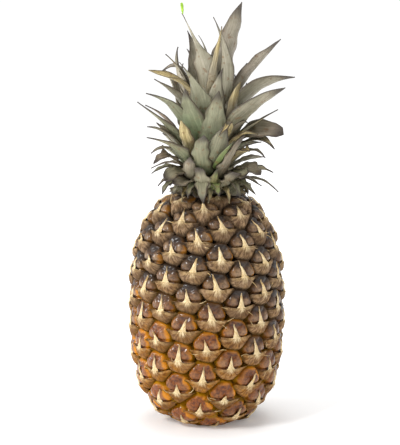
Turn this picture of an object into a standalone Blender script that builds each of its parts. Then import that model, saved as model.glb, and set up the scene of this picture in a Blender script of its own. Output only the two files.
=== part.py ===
# A ripe pineapple that stands upright on its cut base.
#
# Two pieces: the fruit, one body covered with eyes, each with its curved spine, and the crown,
# one leafy stem. All sizes are metres, +Z is up, and the origin is the middle of the cut base.
# The side that faces -Y is the front.

import bpy
import bmesh
import numpy as np
from math import cos, hypot, pi, radians, sin
from mathutils import Matrix, Vector

mm = 0.001

# The fruit's outline is two halves of a squarish ellipse that meet at the widest level.
bodyHeight = 188 * mm
bodyRadius = 62.6 * mm
widestLevel = 92 * mm
lowerHalf = 95 * mm
upperHalf = 99.3 * mm
squareness = 2.7
outlineSteps = 600
rimPoints = 24

# The eyes lie on one spiral. Its 7th, 11th and 18th neighbours touch each eye.
eyeCount = 139
turnPerEye = radians(-99.8)
firstEyeTurn = radians(10.5)
crowding = 0.13
neighbourSteps = ((7, radians(21.4)), (11, radians(-17.8)), (18, radians(3.6)))
cornerPairs = ((7, 18), (11, 18), (-7, 11), (-11, 7), (-18, -11), (-18, -7))
eyeRelief = 5 * mm
seamRelief = 4.4 * mm
upperRingDrop = 0.5 * mm
lowerRingDrop = 2.4 * mm
ringShare = 0.62
rimFade = 11 * mm
rimClear = 1.5 * mm
frameStep = 0.5 * mm

spineLength = 14 * mm
spineWidth = 4.6 * mm
spineThickness = 2.4 * mm
spineSides = 4
spineTipShare = 0.07
spineRise = radians(20)
spineRoot = 1.3 * mm
spineCentre = 4.5 * mm
spineTopLevel = 170 * mm
spineFade = 34 * mm
spineLowLevel = 7 * mm

# The crown's stem stands on the fruit with a hair's gap.
crownGap = 0.3 * mm
stemHeight = 62 * mm
stemFootRadius = 19 * mm
stemTopRadius = 5 * mm
stemSides = 14
bladeThickness = 1.7 * mm
thickestShare = 0.3
bladeChannel = 0.13
edgeRise = 0.4
footWidth = 0.62
fullWidthAt = 0.6
footInset = 0.55
bendRange = (0.3, 0.72)
fruitClearance = 2 * mm
footClearance = 1 * mm
wideBlade = 11
wideSteps = 6
narrowSteps = 5

# Blades that lie on the fruit are stacked a little apart, so that no two faces coincide.
stackLevels = 16
stackStride = 7
stackStep = 0.11 * mm

# The leaves that show from the front, in millimetres above the crown's foot and degrees:
# turn round the stem from the front, height of the foot on the stem, the middle of the blade,
# its tip, its width, its twist at the tip, and how long its point is drawn out.
frontLeaves = [
    # tall leaves at the heart
    (-20, 44, (-2, -14, 102), (-20, -10, 145), 18, 0, 1.4),
    (35, 46, (16, 2, 112), (31, 6, 149), 21, 0, 0),
    (15, 44, (16, -14, 106), (7, -10, 138), 11, 0, 0.9),
    (0, 42, (0, -4, 110), (-2, -2, 123), 4, 0, 1),
    (40, 40, (32, 0, 94), (56, 4, 119), 14, 0, 0.1),
    (60, 42, (22, 5, 81), (24, 5, 96), 6, 0, 0.6),
    # left side
    (-70, 40, (-24, 5, 101), (-34, 5, 101), 8, -30, 0.4),
    (-50, 42, (-21, -5, 95), (-27, -5, 116), 7, 0, 0.8),
    (-50, 38, (-26, -12, 92), (-51, -10, 96), 11, -70, 0.4),
    (-50, 24, (-28, -20, 83), (-46, -20, 91), 12, 0, 0.9),
    (-42, 26, (-27, -32, 70), (-44, -38, 87), 18, 0, 0.5),
    (-60, 20, (-33, -22, 61), (-45, -24, 76), 8, 0, 0.6),
    (-48, 16, (-34, -34, 59), (-49, -38, 72), 13, 0, 0.8),
    (-60, 13, (-35, -30, 52), (-47, -32, 56), 9, -20, 0.3),
    (-40, 10, (-27, -42, 41), (-43, -46, 52), 22, 0, 0.4),
    (-62, 9, (-35, -30, 39), (-48, -32, 33), 8, -20, 0.5),
    (-60, 6, (-33, -34, 33), (-38, -38, 28), 11, -30, -0.3),
    (-58, 4, (-33, -28, 24), (-48, -34, 17), 9, -20, 0.5),
    (-62, 1, (-32, -24, 14), (-41, -30, 6), 7, 0, 0.5),
    # right side
    (50, 34, (38, -14, 82), (65, -10, 97), 25, 0, 0.2),
    (42, 28, (35, -30, 68), (56, -34, 85), 27, 0, 0.2),
    (62, 18, (38, -16, 57), (57, -14, 68), 8, 20, 1),
    (60, 12, (41, -14, 50), (57, -20, 46), 21, 50, -0.5),
    (64, 10, (41, -18, 45), (56, -24, 41), 12, 40, 0),
    (50, 14, (27, -26, 49), (37, -28, 53), 9, 20, 0.2),
    (52, 9, (29, -30, 36), (36, -32, 37), 13, 30, -0.3),
    (66, 8, (38, -16, 36), (47, -18, 31), 8, 20, 0.4),
    (58, 4, (33, -24, 21), (44, -30, 15), 20, 30, -0.2),
    (64, 1, (34, -18, 13), (42, -22, 6), 7, 0, 0.5),
    (48, 20, (26, -26, 57), (36, -26, 62), 8, 0, 0.4),
    # front
    (-20, 30, (-8, -30, 82), (-17, -30, 108), 21, 0, 1.2),
    (-28, 20, (-15, -38, 68), (-23, -42, 85), 21, 0, 0.3),
    (5, 36, (7, -24, 77), (7, -22, 99), 17, 0, 0.5),
    (-2, 22, (5, -38, 59), (9, -38, 82), 21, 0, 0.1),
    (40, 28, (21, -24, 71), (21, -22, 88), 11, 0, -0.2),
    (30, 22, (19, -30, 57), (24, -30, 71), 17, 0, 0),
    (30, 24, (16, -44, 58), (7, -50, 52), 6, 0, 0.3),
    (-8, 10, (-5, -46, 36), (-6, -50, 54), 21, 0, -0.1),
    (18, 12, (9, -44, 40), (16, -46, 57), 20, 0, 0),
    (-30, 16, (-17, -40, 47), (-21, -46, 62), 13, 0, 0),
    (34, 8, (17, -42, 31), (24, -46, 48), 13, 0, 0),
    (30, 14, (13, -46, 36), (19, -48, 47), 8, 0, 0.5),
    # collar
    (-45, 2, (-24, -34, 20), (-34, -40, 16), 17, -45, -0.6),
    (42, 2, (25, -34, 19), (32, -40, 14), 18, 40, -0.6),
    (-6, 4, (-4, -40, 12), (-5, -46, 25), 16, 0, -0.6),
    (-28, 5, (-14, -40, 22), (-15, -46, 32), 15, 0, -0.3),
    (-34, 1, (-19, -36, 13), (-30, -42, 10), 15, -40, -0.6),
    (16, 4, (5, -38, 13), (7, -44, 24), 12, 0, 0.1),
    (30, 1, (17, -36, 13), (23, -44, 20), 19, 0, -0.6),
]

# The leaves round the back follow the stem's spiral. They lengthen and rise towards the heart.
backLeafCount = 32
backStart = 80
backSweep = 200
goldenTurn = 137.5
lowReach, highReach = 54, 26
lowTip, highTip = 2, 136
lowFoot, footSpan = 1, 44
reachDraw = (0.85, 1.12)
heightDraw = (0.9, 1.05)
sidewaysDraw = 14
bendReach = 0.74
bendBase, bendHeight = 9, 0.66
slimEvery = 4
slimWidth = (8, 12)
fullWidth = (16, 23)
twistDraw = 20
backPoint = 0.6
shapeSeed = 5

# Short leaves stand round the stem's top, inside the others.
heartLeafCount = 7
heartFoot = 50
heartMiddle = (6, 80)
heartTip = (11, 100)
heartWidth = 11
heartDrop = 14

# Short dry leaves lie round the crown's foot on the fruit's shoulder.
collarLeafCount = 12
collarStart = 20
collarFoot = 2
collarReach = (28, 35)
collarSideways = 20
collarBend = 0.72
collarMiddle = (3, 6)
collarTip = (-3, 3)
collarWidth = (13, 20)
collarTwist = 25
collarPoint = -0.3


def outlineRadius(level):
    half = lowerHalf if level < widestLevel else upperHalf
    share = abs(level - widestLevel) / half
    return bodyRadius * (1 - share ** squareness) ** (1 / squareness)


def outlineTable():
    # Levels, radii, lengths along the outline, skin area below and the map's stretch.
    levels = bodyHeight * (1 - np.cos(np.linspace(0, pi, outlineSteps))) / 2
    radii = np.array([outlineRadius(level) for level in levels])
    steps = np.hypot(np.diff(levels), np.diff(radii))
    middles = (radii[1:] + radii[:-1]) / 2
    lengths = np.concatenate([[0], np.cumsum(steps)])
    areas = np.concatenate([[0], np.cumsum(2 * pi * middles * steps)])
    stretch = np.concatenate([[0], np.cumsum(steps / middles)])
    return levels, radii, lengths, areas, stretch - stretch[-1] / 2


levels, radii, lengths, areas, stretch = outlineTable()


def eyeAlong(index):
    # How far up the outline an eye lies: each has much the same area of skin.
    share = (index + 0.5) / eyeCount
    area = (share + crowding * share * (1 - share)) * areas[-1]
    return float(np.interp(area, areas, lengths))


def skinPoint(turn, along, drop=0.0):
    level = float(np.interp(along, lengths, levels))
    radius = float(np.interp(along, lengths, radii))
    outward, _ = skinFrame(turn, along)
    fade = min(1.0, along / rimFade, (lengths[-1] - along) / rimFade)
    return Vector((radius * sin(turn), -radius * cos(turn), level)) - outward * drop * max(fade, 0)


def skinFrame(turn, along):
    # The directions out of the skin and up along it.
    below, above = max(along - frameStep, 0), min(along + frameStep, lengths[-1])
    rise = float(np.interp(above, lengths, levels) - np.interp(below, lengths, levels))
    spread = float(np.interp(above, lengths, radii) - np.interp(below, lengths, radii))
    size = hypot(rise, spread)
    rise, spread = rise / size, spread / size
    ahead = Vector((sin(turn), -cos(turn), 0))
    outward = ahead * rise - Vector((0, 0, spread))
    upward = ahead * spread + Vector((0, 0, rise))
    return outward, upward


def mapPoint(turn, along):
    # The same place on a round ball, with small shapes kept.
    latitude = 2 * np.arctan(np.exp(float(np.interp(along, lengths, stretch)))) - pi / 2
    return Vector((cos(latitude) * sin(turn), -cos(latitude) * cos(turn), sin(latitude)))


def stepTurn(step):
    turns = dict(neighbourSteps)
    return turns[step] if step > 0 else -turns[-step]


def eyeCorners(index):
    # The six places where the seams meet round an eye.
    turn, along = firstEyeTurn + turnPerEye * index, eyeAlong(index)
    corners = []
    for first, second in cornerPairs:
        cornerTurn = turn + (stepTurn(first) + stepTurn(second)) / 3
        cornerAlong = (along + eyeAlong(index + first) + eyeAlong(index + second)) / 3
        corners.append((cornerTurn, cornerAlong))
    return turn, along, corners


def eyePoints():
    # Every point of the skin as its turn, its length along the outline and its drop.
    points = []
    seen = set()

    def addPoint(turn, along, drop):
        key = (round(sin(turn), 3), round(cos(turn), 3), round(along / mm, 1))
        nearRim = along < rimClear or along > lengths[-1] - rimClear
        if key not in seen and not nearRim:
            seen.add(key)
            points.append((turn, along, drop))

    for index in range(eyeCount):
        turn, along, corners = eyeCorners(index)
        addPoint(turn, along, 0)
        for cornerTurn, cornerAlong in corners:
            ringTurn = turn + (cornerTurn - turn) * ringShare
            ringAlong = along + (cornerAlong - along) * ringShare
            addPoint(ringTurn, ringAlong, upperRingDrop if ringAlong > along else lowerRingDrop)
            addPoint(cornerTurn, cornerAlong, eyeRelief)
        for step, _ in neighbourSteps:
            if index + step < eyeCount:
                middleAlong = (along + eyeAlong(index + step)) / 2
                addPoint(turn + stepTurn(step) / 2, middleAlong, seamRelief)
    return points


def makeMaterial(name, colour, roughness):
    material = bpy.data.materials.new(name)
    material.use_nodes = True
    shader = material.node_tree.nodes["Principled BSDF"]
    shader.inputs["Base Color"].default_value = (*colour, 1)
    shader.inputs["Roughness"].default_value = roughness
    material.diffuse_color = (*colour, 1)
    return material


def addObject(name, builder, collection, material=None):
    bmesh.ops.recalc_face_normals(builder, faces=builder.faces[:])
    mesh = bpy.data.meshes.new(name)
    builder.to_mesh(mesh)
    builder.free()
    if material:
        mesh.materials.append(material)
    item = bpy.data.objects.new(name, mesh)
    collection.objects.link(item)
    return item


def newCollection(name):
    collection = bpy.data.collections.new(name)
    bpy.context.scene.collection.children.link(collection)
    return collection


def fuse(item, repeats, solver="EXACT"):
    # Joins every object of the collection to the item in one union and removes them.
    union = item.modifiers.new("union", "BOOLEAN")
    union.operation = "UNION"
    union.operand_type = "COLLECTION"
    union.collection = repeats
    union.solver = solver
    bpy.context.view_layer.objects.active = item
    bpy.ops.object.modifier_apply(modifier=union.name)
    for repeat in list(repeats.objects):
        bpy.data.objects.remove(repeat)
    bpy.data.collections.remove(repeats)


def keepOuterShell(item):
    # Fills the hollows that the union sealed: only the largest shell of faces stays.
    builder = bmesh.new()
    builder.from_mesh(item.data)
    unseen = set(builder.faces)
    shells = []
    while unseen:
        shell, waiting = [], [unseen.pop()]
        while waiting:
            face = waiting.pop()
            shell.append(face)
            joints = [edge.link_faces for edge in face.edges if len(edge.link_faces) == 2]
            around = {other for pair in joints for other in pair} & unseen
            unseen -= around
            waiting.extend(around)
        shells.append(shell)
    shells.sort(key=len)
    for shell in shells[:-1]:
        bmesh.ops.delete(builder, geom=shell, context="FACES")
    builder.to_mesh(item.data)
    builder.free()


def makeSkin(collection, material):
    # The net of triangles is the hull of the points laid on a ball. Then each point moves to
    # its own place on the fruit.
    builder = bmesh.new()
    places = {}
    for turn, along, drop in eyePoints():
        corner = builder.verts.new(mapPoint(turn, along))
        places[corner] = skinPoint(turn, along, drop)
    for along, pole in ((0, -1), (lengths[-1], 1)):
        for number in range(rimPoints):
            turn = 2 * pi * number / rimPoints
            corner = builder.verts.new(mapPoint(turn, along))
            places[corner] = skinPoint(turn, along)
        middle = builder.verts.new((0, 0, pole))
        places[middle] = Vector((0, 0, bodyHeight if pole > 0 else 0))
    bmesh.ops.convex_hull(builder, input=builder.verts[:])
    for corner, place in places.items():
        corner.co = place
    return addObject("fruit", builder, collection, material)


def addSpine(index, repeats):
    turn, along = firstEyeTurn + turnPerEye * index, eyeAlong(index)
    outward, upward = skinFrame(turn, along)
    foot = skinPoint(turn, along)
    if not spineLowLevel < foot.z < spineTopLevel:
        return
    sideways = outward.cross(upward)
    fade = min(1.0, (spineTopLevel - foot.z) / spineFade)
    aim = (upward * cos(spineRise * fade) + outward * sin(spineRise * fade)).normalized()
    outer = sideways.cross(aim).normalized()
    builder = bmesh.new()
    bmesh.ops.create_cone(
        builder, segments=spineSides, radius1=0.5, radius2=spineTipShare, depth=1, cap_ends=True,
    )
    stretchOut = Matrix.Diagonal((spineWidth, spineThickness, spineLength, 1))
    frame = Matrix((sideways, outer, aim)).transposed().to_4x4()
    place = Matrix.Translation(foot - outward * spineRoot + aim * spineCentre)
    bmesh.ops.transform(builder, matrix=place @ frame @ stretchOut, verts=builder.verts[:])
    addObject(f"spine{index:03d}", builder, repeats)


def makeFruit(collection):
    fruit = makeSkin(collection, makeMaterial("pineapple rind", (0.27, 0.17, 0.09), 0.5))
    repeats = newCollection("spines")
    for index in range(eyeCount):
        addSpine(index, repeats)
    fuse(fruit, repeats)
    return fruit


def stemRadius(height):
    share = min(max(height / stemHeight, 0), 1)
    return stemFootRadius + (stemTopRadius - stemFootRadius) * share


def skinLevel(radius):
    # The highest level of the fruit at a distance from its axis.
    upper = levels > widestLevel
    return float(np.interp(radius, radii[upper][::-1], levels[upper][::-1], left=bodyHeight, right=0))


def widthShare(share, point):
    # A blade is narrow at its foot and full along its middle. A point of 0 gives a plain tip,
    # 1 a long thin one and less than 0 a blunt one.
    if share < fullWidthAt:
        return footWidth + (1 - footWidth) * sin(pi / 2 * share / fullWidthAt)
    rest = (share - fullWidthAt) / (1 - fullWidthAt)
    return (1 - rest ** (1.6 - 0.6 * point)) ** (0.8 + 0.8 * point)


def bladePath(turn, foot, middle, tip, steps):
    # A curve from the stem through the blade's middle to its tip.
    radius = footInset * stemRadius(foot)
    start = Vector((radius * sin(turn), -radius * cos(turn), foot))
    reach, rest = (middle - start).length, (tip - middle).length
    half = min(max(reach / (reach + rest), bendRange[0]), bendRange[1])
    pull = (middle - start * (1 - half) ** 2 - tip * half * half) / (2 * half * (1 - half))
    shares = [number / steps for number in range(steps + 1)]
    path = [start * (1 - s) ** 2 + pull * 2 * s * (1 - s) + tip * s * s for s in shares]
    return shares, path


def liftClear(section, extra):
    # Points of one section in the crown's frame, all raised where one would sink into the fruit.
    lift = 0.0
    for point in section:
        radius = hypot(point.x, point.y)
        clear = fruitClearance if radius > stemFootRadius else footClearance
        floor = skinLevel(radius) + clear + extra - bodyHeight - crownGap
        lift = max(lift, floor - point.z)
    return [point + Vector((0, 0, lift)) for point in section]


def addBlade(order, row, repeats):
    extra = (order * stackStride % stackLevels) * stackStep
    turn, foot = radians(row[0]), row[1] * mm
    middle, tip = Vector(row[2]) * mm, Vector(row[3]) * mm
    width, twist = row[4] * mm, radians(row[5])
    steps = wideSteps if row[4] >= wideBlade else narrowSteps
    shares, path = bladePath(turn, foot, middle, tip, steps)
    across = Vector((cos(turn), sin(turn), 0))
    builder = bmesh.new()
    rings = []
    for number in range(steps):
        aim = (path[number + 1] - path[max(number - 1, 0)]).normalized()
        side = (across - aim * across.dot(aim)).normalized()
        inner = aim.cross(side)
        lean = Matrix.Rotation(twist * shares[number] ** 1.5, 3, aim)
        side, inner = lean @ side, lean @ inner
        span = width * widthShare(shares[number], row[6])
        thick = min(bladeThickness, thickestShare * span)
        rise = inner * (bladeChannel * span + edgeRise * thick)
        section = [
            path[number] - side * span / 2 + rise,
            path[number] - inner * thick / 2,
            path[number] + side * span / 2 + rise,
            path[number] + inner * thick / 2,
        ]
        rings.append([builder.verts.new(corner) for corner in liftClear(section, extra)])
    point = builder.verts.new(liftClear([path[-1]], extra)[0])
    for low, high in zip(rings, rings[1:]):
        # Both faces are split along the same lines, from the edges to the rib.
        for edge, rib in ((0, 1), (2, 1), (2, 3), (0, 3)):
            builder.faces.new((low[edge], low[rib], high[rib]))
            builder.faces.new((low[edge], high[rib], high[edge]))
    for number in range(4):
        builder.faces.new((rings[-1][number], rings[-1][(number + 1) % 4], point))
    builder.faces.new((rings[0][0], rings[0][1], rings[0][3]))
    builder.faces.new((rings[0][1], rings[0][2], rings[0][3]))
    addObject(f"blade{order:02d}", builder, repeats)


def backLeaf(number, draws):
    # One leaf of the back: the higher its foot, the longer and the steeper it is.
    share = (number + 0.5) / backLeafCount
    turn = backStart + (number * goldenTurn) % backSweep
    reach = (lowReach + (highReach - lowReach) * share) * draws.uniform(*reachDraw)
    height = (lowTip + (highTip - lowTip) * share) * draws.uniform(*heightDraw)
    sideways = radians(turn + draws.uniform(-sidewaysDraw, sidewaysDraw))
    ahead = Vector((sin(radians(turn)), -cos(radians(turn)), 0))
    aside = Vector((sin(sideways), -cos(sideways), 0))
    middle = ahead * reach * bendReach + Vector((0, 0, bendBase + height * bendHeight))
    tip = aside * reach + Vector((0, 0, height))
    width = draws.uniform(*(fullWidth if number % slimEvery else slimWidth))
    twist = draws.uniform(-twistDraw, twistDraw)
    return turn, lowFoot + footSpan * share, middle, tip, width, twist, backPoint


def heartLeaf(number, draws):
    turn = radians(number * goldenTurn)
    ahead = Vector((sin(turn), -cos(turn), 0))
    middle = ahead * heartMiddle[0] + Vector((0, 0, heartMiddle[1]))
    tip = ahead * heartTip[0] + Vector((0, 0, heartTip[1] - draws.uniform(0, heartDrop)))
    return number * goldenTurn, heartFoot, middle, tip, heartWidth, 0, backPoint


def collarLeaf(number, draws):
    turn = number * goldenTurn + collarStart
    reach = draws.uniform(*collarReach)
    sideways = radians(turn + draws.uniform(-collarSideways, collarSideways))
    ahead = Vector((sin(radians(turn)), -cos(radians(turn)), 0))
    aside = Vector((sin(sideways), -cos(sideways), 0))
    middle = ahead * reach * collarBend + Vector((0, 0, draws.uniform(*collarMiddle)))
    tip = aside * reach + Vector((0, 0, draws.uniform(*collarTip)))
    width, twist = draws.uniform(*collarWidth), draws.uniform(-collarTwist, collarTwist)
    return turn, collarFoot, middle, tip, width, twist, collarPoint


def makeCrown(collection):
    builder = bmesh.new()
    bmesh.ops.create_cone(
        builder, segments=stemSides, radius1=stemFootRadius, radius2=stemTopRadius,
        depth=stemHeight, cap_ends=True,
        matrix=Matrix.Translation((0, 0, stemHeight / 2)),
    )
    crown = addObject("crown", builder, collection, makeMaterial("pineapple leaf", (0.3, 0.33, 0.2), 0.6))
    repeats = newCollection("blades")
    draws = np.random.default_rng(shapeSeed)
    rows = frontLeaves + [backLeaf(number, draws) for number in range(backLeafCount)]
    rows += [collarLeaf(number, draws) for number in range(collarLeafCount)]
    rows += [heartLeaf(number, draws) for number in range(heartLeafCount)]
    for order, row in enumerate(rows):
        addBlade(order, row, repeats)
    fuse(crown, repeats, "MANIFOLD")
    keepOuterShell(crown)
    crown.location.z = bodyHeight + crownGap
    return crown


def main():
    for item in list(bpy.data.objects):
        bpy.data.objects.remove(item)
    pineapple = newCollection("pineapple")
    fruit = makeFruit(pineapple)
    crown = makeCrown(pineapple)
    for item in (fruit, crown):
        print(item.name, "has", len(item.data.polygons), "faces")


main()
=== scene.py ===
# A ripe pineapple standing on a white studio floor, seen from the front and a little above.
# Run it in Blender 4.5 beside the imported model. Lengths are metres unless a note says millimetres.

import bpy
import bmesh
import numpy as np
from functools import partial
from math import atan2, cos, hypot, pi, radians, sin
from mathutils import Matrix, Vector


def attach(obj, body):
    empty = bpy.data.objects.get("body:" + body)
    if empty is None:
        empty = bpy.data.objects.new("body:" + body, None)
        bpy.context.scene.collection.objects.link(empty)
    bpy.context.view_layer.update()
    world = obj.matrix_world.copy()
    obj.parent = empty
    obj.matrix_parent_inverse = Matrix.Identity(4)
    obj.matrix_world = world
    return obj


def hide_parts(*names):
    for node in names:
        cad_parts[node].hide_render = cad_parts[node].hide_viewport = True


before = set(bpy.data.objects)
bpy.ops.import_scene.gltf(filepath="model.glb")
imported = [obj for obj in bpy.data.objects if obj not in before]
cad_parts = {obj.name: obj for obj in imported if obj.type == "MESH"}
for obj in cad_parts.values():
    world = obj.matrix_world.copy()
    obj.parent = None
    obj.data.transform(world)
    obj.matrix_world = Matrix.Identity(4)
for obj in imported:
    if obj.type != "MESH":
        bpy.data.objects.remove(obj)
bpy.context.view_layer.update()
mm = 0.001
weldDistance = 0.00001


# Helpers

# Each kind of node: its type, its settings, the inputs that a call gives in turn, and its output
nodeKinds = {
    "place": ("TexCoord", {}, (), "Object"),
    "attribute": ("Attribute", {}, (), "Vector"),
    "noise": ("TexNoise", {}, ("Vector", "Scale", "Detail", "Roughness"), 0),
    "parts": ("SeparateXYZ", {}, (0,), None),
    "join": ("CombineXYZ", {}, (0, 1, 2), 0),
    "length": ("VectorMath", {"operation": "LENGTH"}, (0,), "Value"),
    "mix": ("Mix", {"data_type": "RGBA"}, (0, 6, 7), 2),
    "bump": ("Bump", {}, ("Strength", "Distance", "Height"), 0),
    "cameraRay": ("LightPath", {}, (), "Is Camera Ray"),
}
rangeInputs = ("Value", "From Min", "From Max", "To Min", "To Max")
nodeKinds["range"] = ("MapRange", {}, rangeInputs, 0)
nodeKinds["ease"] = ("MapRange", {"interpolation_type": "SMOOTHSTEP"}, rangeInputs, 0)
mathKinds = {
    "plus": "ADD", "minus": "SUBTRACT", "times": "MULTIPLY", "timesPlus": "MULTIPLY_ADD",
    "absolute": "ABSOLUTE", "arctan": "ARCTAN2", "larger": "MAXIMUM", "smaller": "MINIMUM",
}
for word, operation in mathKinds.items():
    nodeKinds[word] = ("Math", {"operation": operation}, (0, 1, 2), 0)


def tone(hexValue):
    # An sRGB hex colour as linear values.
    values = [int(hexValue[i:i + 2], 16) / 255 for i in (1, 3, 5)]
    linear = [v / 12.92 if v <= 0.04045 else ((v + 0.055) / 1.055) ** 2.4 for v in values]
    return (*linear, 1.0)


def connect(item, inputs):
    # Sets a node's inputs. Each is a number, a hex colour or a socket to link.
    for key, value in inputs.items():
        if isinstance(value, bpy.types.NodeSocket):
            item.id_data.links.new(value, item.inputs[key])
        else:
            item.inputs[key].default_value = tone(value) if isinstance(value, str) else value


def addNode(tree, kind, *values, **settings):
    # Adds a node with its settings and its inputs, and gives back its output.
    name, fixed, inputs, output = nodeKinds[kind]
    item = tree.nodes.new("ShaderNode" + name)
    for key, value in {**fixed, **settings}.items():
        setattr(item, key, value)
    connect(item, dict(zip(inputs, values)))
    return item.outputs if output is None else item.outputs[output]


def newMaterial(name):
    # A material, its shader, and addNode for its own tree.
    material = bpy.data.materials.new(name)
    material.use_nodes = True
    tree = material.node_tree
    return material, tree.nodes["Principled BSDF"], partial(addNode, tree)


def addObject(name, data):
    item = bpy.data.objects.new(name, data)
    bpy.context.scene.collection.objects.link(item)
    return item


def addMesh(name, builder, material):
    mesh = bpy.data.meshes.new(name)
    builder.to_mesh(mesh)
    builder.free()
    mesh.materials.append(material)
    return addObject(name, mesh)


def addPiece(name, builder, material, node):
    # Makes a smooth object, hangs it on the root body and hides the solid of the node it stands for.
    piece = addMesh(name, builder, material)
    for polygon in piece.data.polygons:
        polygon.use_smooth = True
    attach(piece, "root")
    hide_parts(node)
    print(name, "has", len(piece.data.polygons), "faces")
    return piece


def storeVectors(piece, name, values):
    attribute = piece.data.attributes.new(name, "FLOAT_VECTOR", "POINT")
    attribute.data.foreach_set("vector", np.asarray(values, np.float32).ravel())


def addShell(piece, name, thickness, offset):
    shell = piece.modifiers.new(name, "SOLIDIFY")
    shell.thickness = thickness
    shell.offset = offset


def spinProfile(builder, points, steps):
    # Spins a line of points round the axis, merges seam and poles, and turns the faces outwards.
    chain = [builder.verts.new(point) for point in points]
    edges = [builder.edges.new(pair) for pair in zip(chain, chain[1:])]
    bmesh.ops.spin(
        builder, geom=chain + edges, cent=(0, 0, 0), axis=(0, 0, 1), angle=2 * pi,
        steps=steps, use_merge=True,
    )
    bmesh.ops.remove_doubles(builder, verts=builder.verts[:], dist=weldDistance)
    bmesh.ops.recalc_face_normals(builder, faces=builder.faces[:])


# Camera: the photograph looks slightly down at the fruit from the front

view = {
    "aimLevel": 0.165,  # the height that the camera looks at
    "distance": 1.2,
    "tilt": 8.5,  # degrees below the horizon
    "lens": 119.0,
    "sensor": 36,
    "slideX": -0.0056,
    "slideZ": -0.0015,
}


def makeCamera():
    data = bpy.data.cameras.new("camera")
    data.lens = view["lens"]
    data.sensor_width = view["sensor"]
    data.sensor_fit = "AUTO"
    camera = addObject("camera", data)
    tilt = radians(view["tilt"])
    aim = Vector((view["slideX"], 0, view["aimLevel"] + view["slideZ"]))
    camera.location = aim + Vector((0, -cos(tilt), sin(tilt))) * view["distance"]
    camera.rotation_euler = (pi / 2 - tilt, 0, 0)
    bpy.context.scene.camera = camera
    print("camera ready")


# The fruit's outline and the places of its eyes, as in the solids

body = {
    "height": 188 * mm,
    "radius": 62.6 * mm,
    "widest": 92 * mm,
    "lowerHalf": 95 * mm,
    "upperHalf": 99.3 * mm,
    "squareness": 2.7,
    "eyes": 139,
    "around": 18,  # eyes of the spiral past each rim, which bound the last cells
    "turn": radians(-99.8),  # from one eye to the next along the spiral
    "firstTurn": radians(10.5),
    "crowding": 0.13,
    "rimFade": 11 * mm,
    "samples": 600,  # levels at which the outline is measured
}


def outlineRadius(level):
    half = np.where(level < body["widest"], body["lowerHalf"], body["upperHalf"])
    share = np.abs(level - body["widest"]) / half
    return body["radius"] * (1 - share ** body["squareness"]) ** (1 / body["squareness"])


outlineLevels = body["height"] * (1 - np.cos(np.linspace(0, pi, body["samples"]))) / 2
outlineRadii = outlineRadius(outlineLevels)
outlineSteps = np.hypot(np.diff(outlineLevels), np.diff(outlineRadii))
outlineLengths = np.concatenate([[0], np.cumsum(outlineSteps)])
ringAreas = pi * (outlineRadii[1:] + outlineRadii[:-1]) * outlineSteps
outlineAreas = np.concatenate([[0], np.cumsum(ringAreas)])
outlineEnd = outlineLengths[-1]


def levelAt(along):
    return np.interp(along, outlineLengths, outlineLevels)


def radiusAt(along):
    return np.interp(along, outlineLengths, outlineRadii)


def eyeAlong(index):
    # How far up the outline an eye lies. Past the rims the spiral goes on as on a tube.
    share = (np.asarray(index) + 0.5) / body["eyes"]
    area = (share + body["crowding"] * share * (1 - share)) * outlineAreas[-1]
    inside = np.interp(area, outlineAreas, outlineLengths)
    below = np.minimum(area, 0) / (2 * pi * outlineRadii[0])
    above = np.maximum(share - 1, 0) * outlineAreas[-1] / (2 * pi * outlineRadii[-1])
    return inside + below + above


def skinPlace(turn, along, height):
    # Places on the fruit: turn round the axis, length up the outline, height over the skin.
    level = levelAt(along)
    radius = radiusAt(along)
    inside = np.clip(along, mm, outlineEnd - mm)
    low, high = inside - mm, inside + mm
    rise = levelAt(high) - levelAt(low)
    spread = radiusAt(high) - radiusAt(low)
    size = np.hypot(rise, spread)
    reach = radius + height * rise / size
    return np.stack([reach * np.sin(turn), -reach * np.cos(turn), level - height * spread / size], -1)


def rimFade(along):
    return np.clip(np.minimum(along, outlineEnd - along) / body["rimFade"], 0, 1)


def eyeDraws(count, seed):
    # Seeded draws, one row for each eye.
    return np.random.default_rng(seed).uniform(0, 1, (count, 8))


ripening = {
    "level": 0.128,
    "tilt": 0.012,
    "tiltTurn": radians(60),
    "fade": 0.1,
    "share": 0.72,
    "swing": 0.28,
    "swingTurn": radians(50),
}


def ripeness(turn, along):
    # Orange comes from below, most of all on the left of the front.
    level = levelAt(along)
    limit = ripening["level"] + ripening["tilt"] * np.cos(turn + ripening["tiltTurn"])
    fromBelow = np.clip((limit - level) / ripening["fade"], 0, 1)
    return fromBelow * (ripening["share"] + ripening["swing"] * np.cos(turn + ripening["swingTurn"]))


# Eyes: each is a plump dome of three fused sepals over a papery bract, sizes in millimetres

dome = {
    "relief": 3.9,
    "centre": 5.0,  # the dome's middle above the spine's foot
    "shoulder": 4.0,  # from the seam to the dome's full height
    "shoulderPower": 2.4,
    "swell": (-0.25, 0.85),  # how much plumper or flatter an eye may be
    "curve": 0.012,
    "roundFrom": 9.9,
    "roundDrop": 0.5,
    "lobeAside": 6.0,
    "lobeRise": 0.9,
    "lobeSpread": 20.0,
    "creaseCentre": 8.0,
    "creaseAngles": (-90, 38, 142),
    "creaseDraw": 1.6,
    "crease": 1.1,
    "creaseWidth": 1.3,
    "footDrop": 2.2,  # how far the dome sinks behind the bract's edge
    "footRise": 3.4,
    "coverRise": 0.8,
    "coverGap": 0.7,
    "ripeDraw": (0.7, 1.3),
    "rows": 300,
    "columns": 320,
    "seed": 11,
}

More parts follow.
